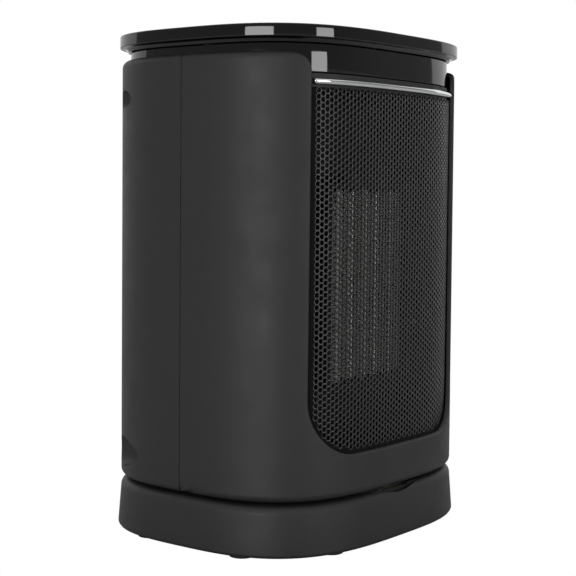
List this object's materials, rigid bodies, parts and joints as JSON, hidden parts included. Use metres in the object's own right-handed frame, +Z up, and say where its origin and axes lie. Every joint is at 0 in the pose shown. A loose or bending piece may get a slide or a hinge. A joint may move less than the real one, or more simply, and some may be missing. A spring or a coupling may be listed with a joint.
{
  "type": "ceramic space heater",
  "caption": "Oscillating tabletop ceramic heater with a curved perforated outlet grille, split matte shell, overhanging gloss lid and a fixed base on rubber feet.",
  "frame": {"origin": "centre of the bounding box's bottom face, on the plane the feet stand on", "axes": "+Z up along the swing axis, -Y out of the air outlet, +X to the right of someone facing the outlet's back, so to the viewer's right from the front"},
  "size_m": [0.1822, 0.152, 0.26],
  "materials": {
    "shell_plastic": "fine spark-eroded matte black ABS",
    "gloss_plastic": "polished high-gloss black ABS",
    "inner_plastic": "plain moulded black heat-resistant plastic",
    "nylon": "natural acetal, moulded",
    "rubber": "matte black rubber",
    "grille_metal": "black semi-gloss lacquer on punched steel sheet",
    "chrome": "bright plated",
    "aluminium": "mill finish",
    "steel": "zinc plated",
    "copper_winding": "enamelled copper wire, taped",
    "bronze": "sintered bronze",
    "circuit_board": "green solder mask"
  },
  "bodies": {
    "base": {"base_cover": "shell_plastic", "base_plate": "shell_plastic", "foot_1": "rubber", "foot_2": "rubber", "foot_3": "rubber", "foot_4": "rubber", "foot_5": "rubber", "foot_6": "rubber", "foot_7": "rubber", "foot_8": "rubber", "swing_motor": "steel", "glide_ring": "nylon", "tip_switch": "inner_plastic", "plunger_spring": "steel", "cord_gland": "rubber"},
    "body": {"body_floor": "inner_plastic", "drive_gear": "nylon", "retaining_ring": "steel", "front_shell": "shell_plastic", "rear_shell": "shell_plastic", "neck_tray": "gloss_plastic", "top_lid": "gloss_plastic", "control_board": "circuit_board", "front_grille": "grille_metal", "grille_frame": "inner_plastic", "chrome_strip": "chrome", "heater_frame": "inner_plastic", "thermal_cutout": "inner_plastic", "fan_shroud": "inner_plastic", "power_board": "circuit_board", "motor_stator": "steel", "motor_coil": "copper_winding", "motor_bracket_front": "aluminium", "motor_bracket_rear": "aluminium", "bush_front": "bronze", "bush_rear": "bronze", "shell_screw_1": "steel", "shell_screw_2": "steel", "shell_screw_3": "steel", "shell_screw_4": "steel", "heating_bar_1": "aluminium", "heating_bar_2": "aluminium", "heating_bar_3": "aluminium", "fin_pack_1": "aluminium", "fin_pack_2": "aluminium", "fin_pack_3": "aluminium", "fin_pack_4": "aluminium", "fin_pack_5": "aluminium", "fin_pack_6": "aluminium"},
    "fan": {"fan_impeller": "inner_plastic", "fan_shaft": "steel", "motor_rotor": "steel"},
    "pinion": {"drive_pinion": "nylon"},
    "plunger": {"tip_plunger": "nylon"},
    "power_button": {"button_1": "gloss_plastic"},
    "heat_button": {"button_2": "gloss_plastic"},
    "swing_button": {"button_3": "gloss_plastic"},
    "timer_button": {"button_4": "gloss_plastic"}
  },
  "joints": [
    {"name": "swing", "type": "hinge", "parent": "base", "child": "body", "pos_m": [0, 0, 0.0294], "axis": [0, 0, 1], "range_deg": [-35, 35]},
    {"name": "pinion_spin", "type": "hinge", "parent": "base", "child": "pinion", "pos_m": [0.0301, 0, 0.0176], "axis": [0, 0, 1], "range_deg": [-142, 142]},
    {"name": "fan_spin", "type": "hinge", "parent": "body", "child": "fan", "pos_m": [0, -0.02, 0.13205], "axis": [0, 1, 0], "continuous": true},
    {"name": "tip_plunger_drop", "type": "slide", "parent": "base", "child": "plunger", "axis": [0, 0, -1], "range_m": [0, 0.004], "stiffness_N_per_m": 60, "springref_m": 0.007, "deforming": ["plunger_spring"]},
    {"name": "power_button_press", "type": "slide", "parent": "body", "child": "power_button", "axis": [0, 0, 1], "range_m": [-0.0008, 0], "stiffness_N_per_m": 300, "springref_m": 0.001},
    {"name": "heat_button_press", "type": "slide", "parent": "body", "child": "heat_button", "axis": [0, 0, 1], "range_m": [-0.0008, 0], "stiffness_N_per_m": 300, "springref_m": 0.001},
    {"name": "swing_button_press", "type": "slide", "parent": "body", "child": "swing_button", "axis": [0, 0, 1], "range_m": [-0.0008, 0], "stiffness_N_per_m": 300, "springref_m": 0.001},
    {"name": "timer_button_press", "type": "slide", "parent": "body", "child": "timer_button", "axis": [0, 0, 1], "range_m": [-0.0008, 0], "stiffness_N_per_m": 300, "springref_m": 0.001}
  ],
  "couplings": [
    {"joint": "pinion_spin", "follows": "swing", "ratio": -4}
  ]
}
